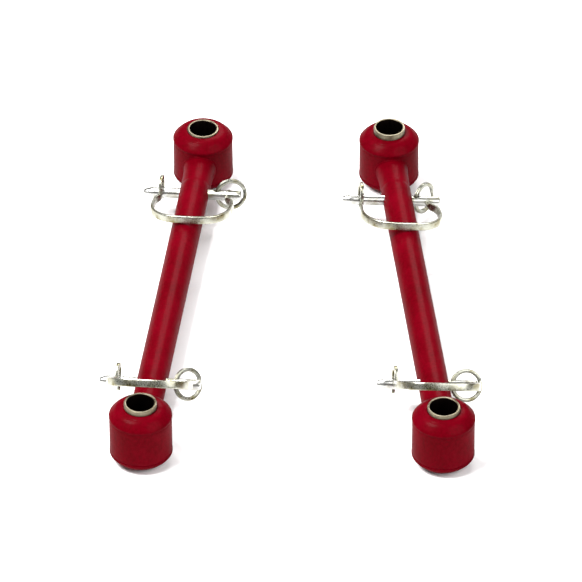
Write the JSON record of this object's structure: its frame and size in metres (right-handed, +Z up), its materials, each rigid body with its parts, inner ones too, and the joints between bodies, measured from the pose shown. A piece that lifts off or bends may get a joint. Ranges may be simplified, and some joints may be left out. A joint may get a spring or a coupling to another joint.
{
  "type": "quick-disconnect sway bar end link pair",
  "caption": "Pair of straight end links, each with a bushed eye at both ends and wire lock pins through the rod; the bails swing open and the pins pull out.",
  "frame": {"origin": "centre of the pair's footprint, on the surface the links lie on", "axes": "+X from the left link to the right link, +Y along the links from the near eyes to the far eyes, +Z up along the eye bores"},
  "size_m": [0.2246, 0.3158, 0.0484],
  "materials": {
    "powder_coat_red": "semi-gloss",
    "bushing_red": "satin",
    "zinc_sleeve": "satin",
    "zinc_pin": "bright zinc",
    "spring_strip": "bright zinc",
    "ring_wire": "bright zinc"
  },
  "bodies": {
    "left_link": {"left_rod": "powder_coat_red", "left_near_eye": "powder_coat_red", "left_far_eye": "powder_coat_red", "left_near_bushing_top": "bushing_red", "left_near_bushing_bottom": "bushing_red", "left_far_bushing_top": "bushing_red", "left_far_bushing_bottom": "bushing_red"},
    "left_near_sleeve": {"left_near_sleeve": "zinc_sleeve"},
    "left_near_pin": {"left_near_pin": "zinc_pin"},
    "left_near_bail": {"left_near_bail": "spring_strip"},
    "left_near_ring": {"left_near_ring": "ring_wire"},
    "left_far_sleeve": {"left_far_sleeve": "zinc_sleeve"},
    "left_far_pin": {"left_far_pin": "zinc_pin"},
    "left_far_bail": {"left_far_bail": "spring_strip"},
    "left_far_ring": {"left_far_ring": "ring_wire"},
    "right_link": {"right_rod": "powder_coat_red", "right_near_eye": "powder_coat_red", "right_far_eye": "powder_coat_red", "right_near_bushing_top": "bushing_red", "right_near_bushing_bottom": "bushing_red", "right_far_bushing_top": "bushing_red", "right_far_bushing_bottom": "bushing_red"},
    "right_near_sleeve": {"right_near_sleeve": "zinc_sleeve"},
    "right_near_pin": {"right_near_pin": "zinc_pin"},
    "right_near_bail": {"right_near_bail": "spring_strip"},
    "right_near_ring": {"right_near_ring": "ring_wire"},
    "right_far_sleeve": {"right_far_sleeve": "zinc_sleeve"},
    "right_far_pin": {"right_far_pin": "zinc_pin"},
    "right_far_bail": {"right_far_bail": "spring_strip"},
    "right_far_ring": {"right_far_ring": "ring_wire"}
  },
  "joints": [
    {"name": "right_link_move", "type": "slide", "parent": "left_link", "child": "right_link", "axis": [1, 0, 0], "range_m": [0, 0.1]},
    {"name": "left_near_sleeve_turn", "type": "hinge", "parent": "left_link", "child": "left_near_sleeve", "pos_m": [-0.08686, -0.13655, 0.0209], "axis": [0, 0, 1], "continuous": true},
    {"name": "left_near_pin_pull", "type": "slide", "parent": "left_link", "child": "left_near_pin", "axis": [0.9925, -0.1185, 0.0297], "range_m": [0, 0.045]},
    {"name": "left_near_bail_open", "type": "hinge", "parent": "left_near_pin", "child": "left_near_bail", "pos_m": [-0.06047, -0.09257, 0.01912], "axis": [0.1124, 0.7909, -0.6016], "range_deg": [0, 120]},
    {"name": "left_near_ring_swing", "type": "hinge", "parent": "left_near_pin", "child": "left_near_ring", "pos_m": [-0.06742, -0.09174, 0.01892], "axis": [0.0478, 0.6004, 0.7983], "range_deg": [-45, 45]},
    {"name": "left_far_sleeve_turn", "type": "hinge", "parent": "left_link", "child": "left_far_sleeve", "pos_m": [-0.0539, 0.13949, 0.019], "axis": [0, 0, 1], "continuous": true},
    {"name": "left_far_pin_pull", "type": "slide", "parent": "left_link", "child": "left_far_pin", "axis": [0.9925, -0.1185, 0.0297], "range_m": [0, 0.045]},
    {"name": "left_far_bail_open", "type": "hinge", "parent": "left_far_pin", "child": "left_far_bail", "pos_m": [-0.03804, 0.0953, 0.01912], "axis": [0.1221, 0.9559, -0.2671], "range_deg": [0, 120]},
    {"name": "left_far_ring_swing", "type": "hinge", "parent": "left_far_pin", "child": "left_far_ring", "pos_m": [-0.04498, 0.09613, 0.01892], "axis": [0.0033, 0.2687, 0.9632], "range_deg": [-20, 70]},
    {"name": "right_near_sleeve_turn", "type": "hinge", "parent": "right_link", "child": "right_near_sleeve", "pos_m": [0.08825, -0.13949, 0.0202], "axis": [0, 0, 1], "continuous": true},
    {"name": "right_near_pin_pull", "type": "slide", "parent": "right_link", "child": "right_near_pin", "axis": [0.9895, 0.0998, -0.1045], "range_m": [0, 0.045]},
    {"name": "right_near_bail_open", "type": "hinge", "parent": "right_near_pin", "child": "right_near_bail", "pos_m": [0.10129, -0.09043, 0.01662], "axis": [-0.1423, 0.7988, -0.5846], "range_deg": [0, 120]},
    {"name": "right_near_ring_swing", "type": "hinge", "parent": "right_near_pin", "child": "right_near_ring", "pos_m": [0.09437, -0.09113, 0.01735], "axis": [0.0251, 0.5933, 0.8046], "range_deg": [-10, 80]},
    {"name": "right_far_sleeve_turn", "type": "hinge", "parent": "right_link", "child": "right_far_sleeve", "pos_m": [0.06035, 0.13711, 0.0216], "axis": [0, 0, 1], "continuous": true},
    {"name": "right_far_pin_pull", "type": "slide", "parent": "right_link", "child": "right_far_pin", "axis": [0.9895, 0.0998, -0.1045], "range_m": [0, 0.045]},
    {"name": "right_far_bail_open", "type": "hinge", "parent": "right_far_pin", "child": "right_far_bail", "pos_m": [0.08283, 0.09264, 0.01662], "axis": [-0.1245, 0.956, -0.2658], "range_deg": [0, 120]},
    {"name": "right_far_ring_swing", "type": "hinge", "parent": "right_far_pin", "child": "right_far_ring", "pos_m": [0.0759, 0.09194, 0.01735], "axis": [0.0734, 0.276, 0.9584], "range_deg": [-50, 40]}
  ],
  "couplings": [
    {"joint": "left_near_bail_open", "follows": "left_near_pin_pull", "rad_per_m": 46.541},
    {"joint": "left_far_bail_open", "follows": "left_far_pin_pull", "rad_per_m": 46.541},
    {"joint": "right_near_bail_open", "follows": "right_near_pin_pull", "rad_per_m": 46.541},
    {"joint": "right_far_bail_open", "follows": "right_far_pin_pull", "rad_per_m": 46.541}
  ]
}
